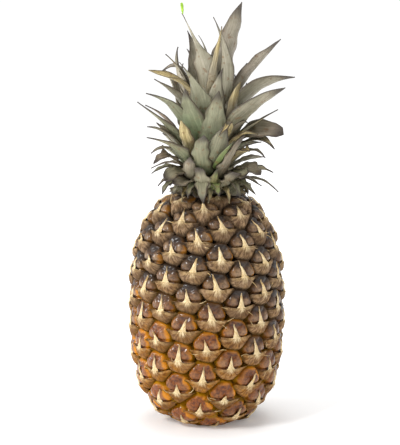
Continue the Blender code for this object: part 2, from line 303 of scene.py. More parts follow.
bract = {
    "lift": 1.3,
    "slope": 0.1,
    "droop": 0.014,
    "crown": 0.009,
    "edge": 3.2,
    "edgeDrop": 2.7,
    "overhang": 0.9,  # how far the bract's edge lies out over the seam
    "outerSlope": 1.2,
    "armSag": 1.3,
    "armEnd": 13.0,
    "keel": 0.8,
    "rib": 0.14,
    "lip": 0.3,
    "spineLength": 13.5,
    "lengthDraw": (0.76, 1.12),
    "brokenShare": 0.07,
    "broken": 0.45,
    "spineRidge": 0.75,
    "spineSink": 2.2,
    "spineSpread": 3.6,  # the few spines that stand off most
    "lean": 8.0,
    "columns": 14,
    "thickness": 0.4,
    "lowest": 0.6 * mm,  # nothing dips below the floor
    "rimShare": 0.35,
    "seed": 23,
}


def eyeCells(turn, along, radius, owners=None):
    # For each point its eye, the place from that eye's spine and the way to the cell's edge.
    batch, nearest = 8000, 8
    indices = np.arange(-body["around"], body["eyes"] + body["around"])
    eyeTurns = body["firstTurn"] + body["turn"] * indices
    eyeAlongs = eyeAlong(indices)
    owner = np.empty(len(turn), int)
    across, up, border = (np.empty(len(turn)) for _ in range(3))
    for start in range(0, len(turn), batch):
        part = slice(start, start + batch)
        swing = (turn[part, None] - eyeTurns + pi) % (2 * pi) - pi
        x = swing * radius[part, None] / mm
        y = (along[part, None] - eyeAlongs) / mm - dome["centre"]
        far = x * x + y * y
        own = np.argmin(far, axis=1) if owners is None else owners[part]
        row = np.arange(len(own))
        owner[part], across[part], up[part] = own, x[row, own], y[row, own] + dome["centre"]
        near = np.argpartition(far, nearest, axis=1)[:, :nearest]
        apart = np.hypot(
            np.take_along_axis(x, near, 1) - x[row, own, None],
            np.take_along_axis(y, near, 1) - y[row, own, None],
        )
        ways = (np.take_along_axis(far, near, 1) - far[row, own, None]) / (2 * np.maximum(apart, 1))
        border[part] = np.where(apart > 1, ways, np.inf).min(axis=1)
    return owner, across, up, border


def bractHeight(across, up, border):
    # The bract's surface over the skin: highest at the spine's foot, tucked in at the cell's edge.
    below = np.maximum(-up, 0)
    height = bract["lift"] - bract["slope"] * below - bract["droop"] * below ** 2
    height = height - bract["crown"] * across ** 2
    reach = border + bract["overhang"]
    edge = np.clip(1 - reach / bract["edge"], 0, 1) ** 2 * bract["edgeDrop"]
    return height - edge - bract["outerSlope"] * np.maximum(-reach, 0)


def domeHeight(across, up, border, draws):
    # One dome: a cushion with two lobes in front and one above, hollow behind its bract.
    full = 1 - (1 - np.clip(border / dome["shoulder"], 0, 1)) ** dome["shoulderPower"]
    swell = np.interp(draws[:, 0], (0, 1), dome["swell"])
    height = -dome["relief"] + (dome["relief"] + swell) * full
    spread = np.hypot(across, up - dome["centre"])
    height -= dome["curve"] * spread ** 2
    height -= dome["roundDrop"] * np.maximum(spread - dome["roundFrom"], 0) ** 2
    aside = (np.abs(across) - dome["lobeAside"]) ** 2 + (up - dome["lobeAside"]) ** 2
    height += dome["lobeRise"] * full * np.exp(-aside / dome["lobeSpread"])
    x, y = across - dome["creaseDraw"] * (draws[:, 6] - 0.5), up - dome["creaseCentre"]
    gaps = []
    for angle in map(radians, dome["creaseAngles"]):
        forward = x * cos(angle) + y * sin(angle)
        sideways = np.abs(-x * sin(angle) + y * cos(angle))
        gaps.append(np.where(forward > 0, sideways, np.hypot(x, y)))
    crease = np.exp(-(np.min(gaps, axis=0) / dome["creaseWidth"]) ** 2)
    foot = np.clip(1 - up / dome["footRise"], 0, 1)
    height -= full * (dome["crease"] * crease + dome["footDrop"] * foot * foot * (3 - 2 * foot))
    covered = np.clip(1 - up / dome["coverRise"], 0, 1)
    under = bractHeight(across, up, border) - dome["coverGap"]
    return height * (1 - covered) + under * covered


def domeDraws(owner):
    return eyeDraws(body["eyes"] + 2 * body["around"], dome["seed"])[owner]


def makeRind(material):
    # The outline is spun round the axis, then each point is moved out or in by its eye's form.
    # The underside is a shallow hollow inside the rim that the fruit stands on.
    hollowLevel, hollowShare, topShare, skinShare = bract["lowest"], 0.55, 0.5, 0.9
    builder = bmesh.new()
    alongs = np.linspace(0, outlineEnd, dome["rows"])
    levels = levelAt(alongs)
    radii = radiusAt(alongs)
    profile = [(0, hollowLevel), (radii[0] * hollowShare, hollowLevel)] + list(zip(radii, levels))
    profile += [(radii[-1] * topShare, body["height"]), (0, body["height"])]
    spinProfile(builder, [(0, -radius, level) for radius, level in profile], dome["columns"])
    piece = addPiece("rind", builder, material, "fruit")
    places = np.empty(len(piece.data.vertices) * 3)
    piece.data.vertices.foreach_get("co", places)
    places = places.reshape(-1, 3)
    radius = np.hypot(places[:, 0], places[:, 1])
    turn = np.arctan2(places[:, 0], -places[:, 1])
    along = np.interp(places[:, 2], outlineLevels, outlineLengths)
    onSkin = radius > outlineRadii[0] * skinShare
    owner, across, up, border = eyeCells(turn, along, np.maximum(radius, 20 * mm))
    draws = domeDraws(owner)
    height = domeHeight(across, up, border, draws)
    moved = skinPlace(turn, along, height * mm * rimFade(along))
    places[onSkin] = moved[onSkin]
    piece.data.vertices.foreach_set("co", places.ravel())
    piece.data.update()
    ripe = ripeness(turn, along) * np.interp(draws[:, 1], (0, 1), dome["ripeDraw"])
    storeVectors(piece, "eyePlace", np.stack([across, up, border], -1))
    storeVectors(piece, "eyeTint", np.stack([ripe, draws[:, 2], draws[:, 3]], -1))


bractRows = [
    # height up the eye and half width, from the lower point to the spine's tip
    (-11.6, 0.8), (-10.4, 2.8), (-9.0, 4.8), (-7.6, 6.8), (-6.1, 8.8), (-4.6, 10.7), (-3.1, 12.3),
    (-1.8, 13.7), (-0.7, 14.8), (0.2, 14.0), (0.7, 4.4), (1.2, 3.2), (2.0, 2.6), (3.4, 2.05),
    (5.2, 1.55), (7.4, 1.1), (9.6, 0.75), (11.6, 0.42), (13.5, 0.05),
]
spineFrom = 0.6  # rows above this height belong to the spine


def bractOutline(grid, draw):
    # The flat form of one bract: torn edges, arms that rise or sag, and a leaning spine.
    rowUps, rowHalves = np.array(bractRows).T
    side = np.array([corner.co.x for corner in grid])
    row = np.array([(corner.co.y + 1) / 2 * (len(bractRows) - 1) for corner in grid])
    up = np.interp(row, range(len(bractRows)), rowUps)
    half = np.interp(row, range(len(bractRows)), rowHalves)
    across = side * half * (0.95 + 0.1 * draw[0])
    painted = (across, up)  # the fibres keep to the untorn form
    ragged = np.sin(across * 1.7 + draw[1] * 40) * 0.45 + np.sin(up * 2.7 + draw[2] * 50) * 0.2
    arm = np.clip(1 + up / 5, 0, 1) * (up < spineFrom)
    wing = np.clip(np.abs(across) / bract["armEnd"], 0, 1) ** 2 * arm
    sag = bract["armSag"] * np.exp(-((np.abs(across) - 7) / 3.2) ** 2) * arm
    across = across + ragged * (np.abs(side) > 0.9) * (up < 0.5)
    torn = ragged * (np.abs(side) > 0.5) * (np.abs(up) < 2.5)
    up = up - sag + wing * (1.0 + 3.2 * (draw[1] - 0.4)) + torn
    share = np.clip(up / bract["spineLength"], 0, 1)
    length = np.interp(draw[3], (0, 1), bract["lengthDraw"])
    length = length - bract["broken"] * (draw[6] < bract["brokenShare"])
    across = across + bract["lean"] * (draw[5] - 0.5) * share ** 1.3
    onSpine = up > spineFrom
    return side, share, across, np.where(up > 0, up * length, up), onSpine, painted


def makeBracts(material):
    # Each bract is a grid bent to its outline, raised along its keel and its spine.
    draws = eyeDraws(body["eyes"], bract["seed"])
    builder = bmesh.new()
    data, tints = [], []
    for index in range(body["eyes"]):
        grid = bmesh.ops.create_grid(
            builder, x_segments=bract["columns"], y_segments=len(bractRows) - 1, size=1,
        )["verts"]
        draw = draws[index]
        side, share, across, up, onSpine, painted = bractOutline(grid, draw)
        along = eyeAlong(index) + up * mm
        radius = radiusAt(along)
        eyeTurn = body["firstTurn"] + body["turn"] * index
        turn = eyeTurn + across * mm / radius
        own = np.full(len(up), index + body["around"])
        border = eyeCells(turn, along, radius, own)[3]
        height = bractHeight(across, up, np.where(onSpine, 9, border))
        height -= bract["spineSink"] * share * onSpine
        height += bract["rib"] * np.sin(np.arctan2(across, 3 - up) * 14 + draw[3] * 9) * (up < 0)
        height += bract["lip"] * np.exp(-((up - 0.2) / 1.3) ** 2)
        height += bract["keel"] * np.exp(-(across / 2.4) ** 2) * ~onSpine
        # the spine lies on its dome, and the arms' ends climb onto the next domes
        owner, nextAcross, nextUp, nextBorder = eyeCells(turn, along, radius)
        nextAcross = np.where(onSpine, 3, nextAcross)
        ground = domeHeight(nextAcross, nextUp, nextBorder, domeDraws(owner))
        climb = np.clip((np.abs(across) - 9) / 3, 0, 1) * np.clip((up + 4) / 3, 0, 1)
        height = np.maximum(height, ground - 1.1 + 1.5 * climb)
        raised = np.maximum(height, ground + 0.2) + bract["spineRidge"] * (1 - np.abs(side))
        raised += share ** 1.7 * bract["spineSpread"] * draw[4] ** 5 - 0.2 - 0.3 * share
        height = np.where(onSpine, raised, height)
        fade = np.interp(rimFade(along), [0, 1], [bract["rimShare"], 1])
        spots = skinPlace(turn, along, height * mm * fade)
        spots[:, 2] = np.maximum(spots[:, 2], bract["lowest"])
        for corner, spot in zip(grid, spots):
            corner.co = spot
        data.append(np.stack([*painted, border], -1))
        ripe = float(ripeness(eyeTurn, eyeAlong(index)))
        tints.append(np.tile([ripe, draw[7], draw[2]], (len(grid), 1)))
    bmesh.ops.recalc_face_normals(builder, faces=builder.faces[:])
    piece = addPiece("bracts", builder, material, "fruit")
    storeVectors(piece, "bractPlace", np.concatenate(data))
    storeVectors(piece, "bractTint", np.concatenate(tints))
    addShell(piece, "paper", bract["thickness"] * mm, -1)


thread = {
    "count": 110,
    "eyes": (6, 135),
    "steps": 6,
    "length": (4, 10),
    "width": 0.3,
    "taper": 0.85,
    "thickness": 0.25,
    "aside": 12,  # the bract's arms end here
    "swing": 0.9,
    "curl": 0.25,
    "root": -1.0,
    "rise": (1.5, 4.5),
    "place": (0.0, 4.0, 5.0),  # where on a bract the threads take their colour
    "tint": (0.2, 0.5, 0.2),
    "seed": 41,
}


def makeThreads(material):
    # Loose dry fibres, torn from the bracts' edges, that stand off the rind.
    draws = np.random.default_rng(thread["seed"])
    builder = bmesh.new()
    for _ in range(thread["count"]):
        index = int(draws.integers(*thread["eyes"]))
        side = draws.uniform(-1, 1)
        swing = draws.uniform(-thread["swing"], thread["swing"])
        curl = draws.uniform(-thread["curl"], thread["curl"])
        length, rise = draws.uniform(*thread["length"]), draws.uniform(*thread["rise"])
        across, up = side * thread["aside"], draws.uniform(-2, 1)
        heading = swing + (pi / 2 if side > 0 else -pi / 2)
        eyeTurn = body["firstTurn"] + body["turn"] * index
        strip = bmesh.ops.create_grid(builder, x_segments=1, y_segments=thread["steps"], size=1)["verts"]
        strip = sorted(strip, key=lambda corner: (round(corner.co.y, 3), corner.co.x))
        for step in range(thread["steps"] + 1):
            share = step / thread["steps"]
            half = thread["width"] * (1 - thread["taper"] * share)
            along = eyeAlong(index) + up * mm
            radius = float(radiusAt(along))
            height = thread["root"] + rise * share ** 0.8
            for corner, edge in zip(strip[2 * step:2 * step + 2], (-half, half)):
                turn = eyeTurn + (across + edge * cos(heading)) * mm / radius
                place = skinPlace(turn, along - edge * sin(heading) * mm, height * mm)
                place[2] = max(place[2], bract["lowest"])
                corner.co = place
            across += sin(heading) * length / thread["steps"]
            up += cos(heading) * length / thread["steps"]
            heading += curl
    piece = addPiece("threads", builder, material, "fruit")
    count = len(piece.data.vertices)
    storeVectors(piece, "bractPlace", [thread["place"]] * count)
    storeVectors(piece, "bractTint", [thread["tint"]] * count)
    addShell(piece, "fibre", thread["thickness"] * mm, 0)


# Crown: leaves in millimetres above the crown's foot and degrees, as in the solids

crown = {
    "foot": 188.3 * mm,
    "stemHeight": 62 * mm,
    "stemFoot": 19 * mm,
    "stemTop": 5 * mm,
    "channel": 0.16,
    "footWidth": 0.62,
    "fruitClearance": 2 * mm,
    "footClearance": 1 * mm,
    "across": 6,
    "along": 26,
    "thickness": 0.9 * mm,
    "apart": 0.11 * mm,  # lifts blades that lie on the fruit by different amounts
    "hook": 0.16,  # how far a tip may bend aside, as a share of its blade
    "wave": 0.9 * mm,
    "crumple": 0.5 * mm,
    "folds": 1.1 * mm,
    "raggedBelow": 12,  # blades with their foot below this have torn edges
    "crumpledBelow": 6,
}

frontLeaves = [
    # turn, foot, middle, tip, width, twist, point, then how green, how dry and how mauve it is
    # tall leaves at the heart
    (-20, 44, (-2, -14, 102), (-25, -10, 148), 18, 0, 1.75, 0.1, 0.1, 0.4),
    (35, 46, (16, 2, 112), (31, 6, 149), 21, 0, 0, 0, 0.25, 0.8),
    (15, 44, (16, -14, 106), (7, -10, 138), 11, 0, 0.9, 0.15, 0.1, 0.35),
    (0, 42, (0, -4, 110), (-2, -2, 123), 4, 0, 1, 0.1, 0.1, 0.2),
    (40, 40, (32, 0, 94), (56, 4, 119), 14, 0, 0.1, 0, 0.2, 0.9),
    (60, 42, (22, 5, 81), (24, 5, 96), 6, 0, 0.6, 0.2, 0.3, 0.8),
    # left side
    (-70, 40, (-24, 5, 101), (-34, 5, 101), 8, -30, 0.4, 0, 0.2, 0.8),
    (-50, 42, (-21, -5, 95), (-27, -5, 116), 7, 0, 0.8, 0.2, 0.5, 0.5),
    (-50, 38, (-26, -12, 92), (-51, -10, 96), 11, -70, 0.4, 0, 1, 0),
    (-50, 24, (-28, -20, 83), (-46, -20, 91), 12, 0, 0.9, 0.1, 0.3, 0.5),
    (-42, 26, (-27, -32, 70), (-44, -38, 87), 18, 0, 0.5, 0.7, 0.2, 0.1),
    (-60, 20, (-33, -22, 61), (-45, -24, 76), 8, 0, 0.6, 0.2, 0, 1),
    (-48, 16, (-34, -34, 59), (-49, -38, 72), 13, 0, 0.8, 0.5, 0.1, 0.1),
    (-60, 13, (-35, -30, 52), (-47, -32, 56), 9, -20, 0.3, 0.4, 0.1, 0.6),
    (-40, 10, (-27, -42, 41), (-43, -46, 52), 22, 0, 0.4, 0.6, 0, 0),
    (-62, 9, (-35, -30, 39), (-48, -32, 33), 8, -20, 0.5, 0.3, 0.1, 0.5),
    (-60, 6, (-33, -34, 33), (-38, -38, 28), 11, -30, -0.3, 0, 0, 1),
    (-58, 4, (-33, -28, 24), (-48, -34, 17), 9, -20, 0.5, 0.5, 0.1, 0.1),
    (-62, 1, (-32, -24, 14), (-41, -30, 6), 7, 0, 0.5, 0.3, 0.1, 0.3),
    # right side
    (50, 34, (38, -14, 82), (65, -10, 97), 25, 0, 0.2, 0.15, 0.15, 0.3),
    (42, 28, (35, -30, 68), (56, -34, 85), 27, 0, 0.2, 0.2, 0.05, 0.35),
    (62, 18, (38, -16, 57), (57, -14, 68), 8, 20, 1, 0, 0.6, 0.3),
    (60, 12, (41, -14, 50), (57, -20, 46), 21, 50, -0.5, 0.3, 0.2, 0.6),
    (64, 10, (41, -18, 45), (56, -24, 41), 12, 40, 0, 0.6, 0.5, 0.3),
    (50, 14, (27, -26, 49), (37, -28, 53), 9, 20, 0.2, 0, 1, 0),
    (52, 9, (29, -30, 36), (36, -32, 37), 13, 30, -0.3, 0, 0.8, 0.5),
    (66, 8, (38, -16, 36), (47, -18, 31), 8, 20, 0.4, 0.2, 0, 0.5),
    (58, 4, (33, -24, 21), (44, -30, 15), 20, 30, -0.2, 0.35, 0.2, 0.5),
    (64, 1, (34, -18, 13), (42, -22, 6), 7, 0, 0.5, 0.3, 0, 0.5),
    (48, 20, (26, -26, 57), (36, -26, 62), 8, 0, 0.4, 0.1, 0, 0.8),
    # front
    (-20, 30, (-8, -30, 82), (-17, -30, 108), 21, 0, 1.2, 0.5, 0, 0.15),
    (-28, 20, (-15, -38, 68), (-23, -42, 85), 21, 0, 0.3, 0.8, 0.2, 0),
    (5, 36, (7, -24, 77), (7, -22, 99), 17, 0, 0.5, 0.4, 0.2, 0.3),
    (-2, 22, (5, -38, 59), (9, -38, 82), 21, 0, 0.1, 0.6, 0.35, 0.1),
    (40, 28, (21, -24, 71), (21, -22, 88), 11, 0, -0.2, 0, 0.7, 0.6),
    (30, 22, (19, -30, 57), (24, -30, 71), 17, 0, 0, 0.1, 0, 0.6),
    (30, 24, (16, -44, 58), (7, -50, 52), 6, 0, 0.3, 0, 1, 0),
    (-8, 10, (-5, -46, 36), (-6, -50, 54), 21, 0, -0.1, 0.6, 0.25, 0.05),
    (18, 12, (9, -44, 40), (16, -46, 57), 20, 0, 0, 0.6, 0, 0.2),
    (-30, 16, (-17, -40, 47), (-21, -46, 62), 13, 0, 0, 0, 0.9, 0.4),
    (34, 8, (17, -42, 31), (24, -46, 48), 13, 0, 0, 0.05, 0.15, 0.7),
    (30, 14, (13, -46, 36), (19, -48, 47), 8, 0, 0.5, 1.2, 0.1, 0),
    # collar
    (-45, 2, (-24, -34, 20), (-34, -40, 16), 17, -45, -0.6, 0.35, 0.25, 0.4),
    (42, 2, (25, -34, 19), (32, -40, 14), 18, 40, -0.6, 0.45, 0.35, 0.2),
    (-6, 4, (-4, -40, 12), (-5, -46, 25), 16, 0, -0.6, 0.3, 0.1, 0.2),
    (-28, 5, (-14, -40, 22), (-15, -46, 32), 15, 0, -0.3, 0.2, 0.2, 0.45),
    (-34, 1, (-19, -36, 13), (-30, -42, 10), 15, -40, -0.6, 0.15, 0.2, 0.5),
    (16, 4, (5, -38, 13), (7, -44, 24), 12, 0, 0.1, 1.3, 0.2, 0),
    (30, 1, (17, -36, 13), (23, -44, 20), 19, 0, -0.6, 0.3, 0.1, 0.35),
]

# Blades that only show here: a dry one between the tall leaves and stubs that hang at the front
hangingLeaves = [
    (12, 44, (6, -16, 104), (13, -12, 131), 6.5, 25, 0.5, 0, 0.72, 0.6),
    (-6, 9, (-4, -41, 12), (-3, -49, -2), 13, 0, -0.1, 0.4, 0.1, 0.1),
    (14, 8, (8, -40, 9), (10, -48, 0), 10, 20, 0.2, 1.2, 0.4, 0),
    (-18, 7, (-13, -38, 9), (-16, -45, 1), 9, -25, 0.3, 0.9, 0.1, 0),
    (-32, 8, (-23, -34, 9), (-29, -38, 2), 10, 20, 0.1, 0.4, 0.1, 0.2),
    (30, 8, (22, -35, 10), (27, -40, 2), 11, -20, 0, 0.5, 0.1, 0.2),
    (46, 7, (30, -29, 10), (36, -33, 3), 9, 30, 0.2, 0.3, 0.3, 0.1),
    (-50, 7, (-31, -27, 10), (-38, -31, 4), 9, -30, 0.2, 0.5, 0.2, 0.1),
    (4, 6, (2, -37, 5), (3, -44, -3), 8, -30, 0.4, 0.2, 0.7, 0.1),
    (22, 5, (16, -34, 5), (19, -41, -2), 7, 30, 0.6, 0.3, 0.9, 0),
    (-26, 5, (-18, -33, 5), (-21, -40, -2), 7, 10, 0.6, 0.2, 0.9, 0),
]

otherLeaves = {
    "back": 32, "backStart": 80, "backSweep": 200, "goldenTurn": 137.5,
    "lowReach": 54, "highReach": 26, "lowTip": 2, "highTip": 136, "lowFoot": 1, "footSpan": 44,
    "backPoint": 0.6, "slimWidth": (8, 12), "fullWidth": (16, 23),
    "collar": 12, "collarStart": 20, "collarReach": (28, 35), "collarWidth": (13, 20), "collarPoint": -0.3,
    "heart": 7, "heartFoot": 50, "heartMiddle": (6, 80), "heartTip": (11, 100), "heartWidth": 11,
    "heartDrop": 14, "seed": 5, "scraps": 44, "scrapSeed": 19, "lookSeed": 77,
}


def directions(turn, sideways):
    first, second = radians(turn), radians(sideways)
    return Vector((sin(first), -cos(first), 0)), Vector((sin(second), -cos(second), 0))


def backLeaf(number, draws):
    # The higher its foot, the longer and the steeper a leaf is.
    rule = otherLeaves
    share = (number + 0.5) / rule["back"]
    turn = rule["backStart"] + (number * rule["goldenTurn"]) % rule["backSweep"]
    reach = (rule["lowReach"] + (rule["highReach"] - rule["lowReach"]) * share) * draws.uniform(0.85, 1.12)
    height = (rule["lowTip"] + (rule["highTip"] - rule["lowTip"]) * share) * draws.uniform(0.9, 1.05)
    ahead, aside = directions(turn, turn + draws.uniform(-14, 14))
    middle = ahead * reach * 0.74 + Vector((0, 0, 9 + height * 0.66))
    tip = aside * reach + Vector((0, 0, height))
    width = draws.uniform(*(rule["fullWidth"] if number % 4 else rule["slimWidth"]))
    twist = draws.uniform(-20, 20)
    green = (0.3 + 0.5 * ((number * 7) % 10) / 10) * (1 - 0.7 * share)
    dry, mauve = 0.3 * ((number * 3) % 5) / 5, 0.2 + 0.6 * ((number * 5) % 7) / 7
    foot = rule["lowFoot"] + rule["footSpan"] * share
    return turn, foot, middle, tip, width, twist, rule["backPoint"], green, dry, mauve


def collarLeaf(number, draws):
    rule = otherLeaves
    turn = number * rule["goldenTurn"] + rule["collarStart"]
    reach = draws.uniform(*rule["collarReach"])
    ahead, aside = directions(turn, turn + draws.uniform(-20, 20))
    middle = ahead * reach * 0.72 + Vector((0, 0, draws.uniform(3, 6)))
    tip = aside * reach + Vector((0, 0, draws.uniform(-3, 3)))
    width, twist = draws.uniform(*rule["collarWidth"]), draws.uniform(-25, 25)
    dry = 0.35 + 0.4 * ((number * 5) % 4) / 4
    return turn, 2, middle, tip, width, twist, rule["collarPoint"], 0.25, dry, 0.2


def scrapLeaf(number, draws):
    # Short torn leaf stubs that crowd round the crown's foot.
    rule = otherLeaves
    turn = number * rule["goldenTurn"] + draws.uniform(-20, 20)
    share = draws.uniform(0, 1)
    reach, foot = draws.uniform(26, 42) - 6 * share, 2 + 12 * share
    ahead, aside = directions(turn, turn + draws.uniform(-28, 28))
    height = foot + draws.uniform(-2, 9)
    middle = ahead * reach * 0.74 + Vector((0, 0, foot + draws.uniform(3, 8)))
    tip = aside * reach + Vector((0, 0, height))
    width, twist = draws.uniform(4, 10), draws.uniform(-50, 50)
    green, dry, mauve = draws.uniform(0, 0.6), draws.uniform(0, 0.9) ** 1.5, draws.uniform(0, 0.6)
    return turn, foot, middle, tip, width, twist, draws.uniform(-0.6, 0.9), green, dry, mauve


def heartLeaf(number, draws):
    rule = otherLeaves
    turn = number * rule["goldenTurn"]
    ahead, _ = directions(turn, turn)
    middle = ahead * rule["heartMiddle"][0] + Vector((0, 0, rule["heartMiddle"][1]))
    tip = ahead * rule["heartTip"][0]
    tip = tip + Vector((0, 0, rule["heartTip"][1] - draws.uniform(0, rule["heartDrop"])))
    return turn, rule["heartFoot"], middle, tip, rule["heartWidth"], 0, rule["backPoint"], 0.3, 0.1, 0.4


def stemRadius(height):
    share = min(max(height / crown["stemHeight"], 0), 1)
    return crown["stemFoot"] + (crown["stemTop"] - crown["stemFoot"]) * share


def skinLevel(radius):
    upper = outlineLevels > body["widest"]
    return float(np.interp(
        radius, outlineRadii[upper][::-1], outlineLevels[upper][::-1], left=body["height"], right=0,
    ))


def bladePath(turn, foot, middle, tip):
    # A curve from the stem through the blade's middle to its tip, as a function of its share.
    radius = 0.55 * stemRadius(foot)
    start = Vector((radius * sin(turn), -radius * cos(turn), foot))
    reach, rest = (middle - start).length, (tip - middle).length
    half = min(max(reach / (reach + rest), 0.3), 0.72)
    pull = (middle - start * (1 - half) ** 2 - tip * half * half) / (2 * half * (1 - half))
    return lambda s: start * (1 - s) ** 2 + pull * 2 * s * (1 - s) + tip * s * s


def widthShare(share, point):
    # A point of 0 gives a plain tip, 1 a long thin one and less than 0 a blunt one.
    if share < 0.6:
        return crown["footWidth"] + (1 - crown["footWidth"]) * sin(pi / 2 * share / 0.6)
    rest = (share - 0.6) / 0.4
    return max(1 - rest ** (1.6 - 0.6 * point), 0) ** (0.8 + 0.8 * point)


def addLeaf(builder, order, row, draw):
    # One blade: a grid laid along its path, cupped round the stem, wavier the drier it is.
    turn, foot = radians(row[0]), row[1] * mm
    path = bladePath(turn, foot, Vector(row[2]) * mm, Vector(row[3]) * mm)
    width, twist, point, withered = row[4] * mm, radians(row[5]), row[6], max(row[8], row[9])
    across = Vector((cos(turn), sin(turn), 0))
    extra = (order * 7 % 16) * crown["apart"]
    grid = bmesh.ops.create_grid(
        builder, x_segments=crown["across"], y_segments=crown["along"], size=1,
    )["verts"]
    length = sum((path(i / 20) - path((i - 1) / 20)).length for i in range(1, 21))
    hook = Vector((draw[0] - 0.5, 0.4 * (draw[1] - 0.5), 0.8 * (draw[2] - 0.5)))
    hook = hook * crown["hook"] * length
    frames, places, spots, sides = {}, [], [], []
    for corner in grid:
        side, share = corner.co.x, (corner.co.y + 1) / 2
        key = round(share * crown["along"])
        if key not in frames:
            aim = (path(min(share + 0.03, 1)) - path(max(share - 0.03, 0))).normalized()
            lateral = (across - aim * across.dot(aim)).normalized()
            inner = aim.cross(lateral)
            roll = twist * share ** 1.5 + 0.3 * sin(share * 5 + draw[0] * 6) * draw[1] * share
            lean = Matrix.Rotation(roll, 3, aim)
            lateral, inner = lean @ lateral, lean @ inner
            half = width * widthShare(share, point) / 2
            if row[1] < crown["raggedBelow"]:
                half *= 0.76 + 0.24 * sin(share * 23 + draw[0] * 40) * sin(share * 11 + draw[2] * 9)
            hollow = crown["channel"] * 2 * half * (1 + 1.2 * withered * share)
            low = 0.0
            for edge in (-1, 0, 1):
                spot = path(share) + lateral * edge * half + inner * hollow * edge * edge
                distance = hypot(spot.x, spot.y)
                onFruit = distance > crown["stemFoot"]
                clear = crown["fruitClearance"] if onFruit else crown["footClearance"]
                floor = skinLevel(distance) + clear + extra - crown["foot"]
                low = max(low, floor - spot.z)
            frames[key] = (lateral, inner, half, hollow, low)
        lateral, inner, half, hollow, low = frames[key]
        wave = (0.4 + withered) * sin(share * 17 + draw[2] * 9 + side * 1.3) * crown["wave"]
        crumple = withered * sin(share * 34 + draw[3] * 20 + side * 4) * crown["crumple"]
        if row[1] < crown["crumpledBelow"]:
            folds = sin(share * 21 + draw[0] * 30 + side * 5) * cos(side * 7 + draw[1] * 20)
            crumple += folds * crown["folds"]
        wave = (wave * abs(side) ** 2 + crumple) * min(1, half / (6 * mm)) * share
        torn = 1 + 0.1 * sin(share * 40 + side + draw[1] * 9) * withered
        place = path(share) + lateral * side * half * torn
        place += inner * (hollow * side * side + wave) + Vector((0, 0, low + crown["foot"]))
        places.append(place + hook * max(0, (share - 0.7) / 0.3) ** 2)
        spots.append((side * half / mm, share * length / mm, share))
        sides.append(side)
    for corner, place in zip(grid, places):
        corner.co = place
    return spots, sides


def makeLeaves(material):
    draws = np.random.default_rng(otherLeaves["seed"])
    rows = list(frontLeaves)
    rows += [backLeaf(number, draws) for number in range(otherLeaves["back"])]
    rows += [collarLeaf(number, draws) for number in range(otherLeaves["collar"])]
    rows += [heartLeaf(number, draws) for number in range(otherLeaves["heart"])]
    draws = np.random.default_rng(otherLeaves["scrapSeed"])
    rows += [scrapLeaf(number, draws) for number in range(otherLeaves["scraps"])]
    rows += hangingLeaves
    looks = np.random.default_rng(otherLeaves["lookSeed"]).uniform(0, 1, (len(rows), 4))
    builder = bmesh.new()
    spots, tints, edges = [], [], []
    for order, row in enumerate(rows):
        leaf, sides = addLeaf(builder, order, row, looks[order])
        spots += leaf
        tints += [(row[7], row[8], row[9])] * len(leaf)
        edges += [(side, looks[order][3], row[1]) for side in sides]
    bmesh.ops.recalc_face_normals(builder, faces=builder.faces[:])
    piece = addPiece("leaves", builder, material, "crown")
    storeVectors(piece, "leafPlace", spots)
    storeVectors(piece, "leafTint", tints)
    storeVectors(piece, "leafEdge", edges)
    addShell(piece, "blade", crown["thickness"], 0)


def makeStem(material):
    # The short woody stem that the leaves grow from.
    builder = bmesh.new()
    bmesh.ops.create_cone(
        builder, segments=48, radius1=crown["stemFoot"], radius2=crown["stemTop"],
        depth=crown["stemHeight"], cap_ends=True,
        matrix=Matrix.Translation((0, 0, crown["foot"] + crown["stemHeight"] / 2)),
    )
    rings = [edge for edge in builder.edges if len(edge.link_faces) == 2]
    bmesh.ops.subdivide_edges(builder, edges=rings, cuts=2, use_grid_fill=True)
    piece = addPiece("crownStem", builder, material, "crown")
    places = [(0, vertex.co.z, 0.1) for vertex in piece.data.vertices]
    storeVectors(piece, "leafPlace", places)
    storeVectors(piece, "leafTint", [(0.3, 0.2, 0.5)] * len(places))
    storeVectors(piece, "leafEdge", [(0.0, 0.5, 0.0)] * len(places))


greenTip = {
    # height above the crown's foot and half width, in millimetres
    "rings": (
        (143.6, 0.3), (145.0, 0.6), (146.2, 1.0), (148.0, 1.1), (150.6, 1.2), (152.0, 1.0), (152.6, 0.6),
    ),
    "place": (-19.2, -11),
    "lean": 0.1,
    "depth": 0.35 * mm,
    "sides": 12,
}


def makeGreenTip(material):
    # The tallest thin leaf on the left still ends in a fresh green tip.
    builder = bmesh.new()
    profile = [(half * mm, 0, height * mm) for height, half in greenTip["rings"]]
    spinProfile(builder, profile, greenTip["sides"])
    bmesh.ops.holes_fill(builder, edges=builder.edges[:], sides=greenTip["sides"])
    aside, ahead = greenTip["place"]
    lowest = greenTip["rings"][0][0] * mm
    for vertex in builder.verts:
        radius = hypot(vertex.co.x, vertex.co.y)
        vertex.co.x += aside * mm - greenTip["lean"] * (vertex.co.z - lowest)
        vertex.co.y = vertex.co.y / radius * greenTip["depth"] + ahead * mm
        vertex.co.z += crown["foot"]
    bmesh.ops.recalc_face_normals(builder, faces=builder.faces[:])
    addPiece("greenTip", builder, material, "crown")


scar = {
    # radius and height over the floor, in millimetres
    "outline": ((0, 1.2), (5, 1.0), (10.5, 0.5), (12.5, 0.2), (14.5, 0.2), (16, 0.9)),
    "fray": 0.12 * mm,
    "frayRadius": 14 * mm,
    "sides": 64,
}


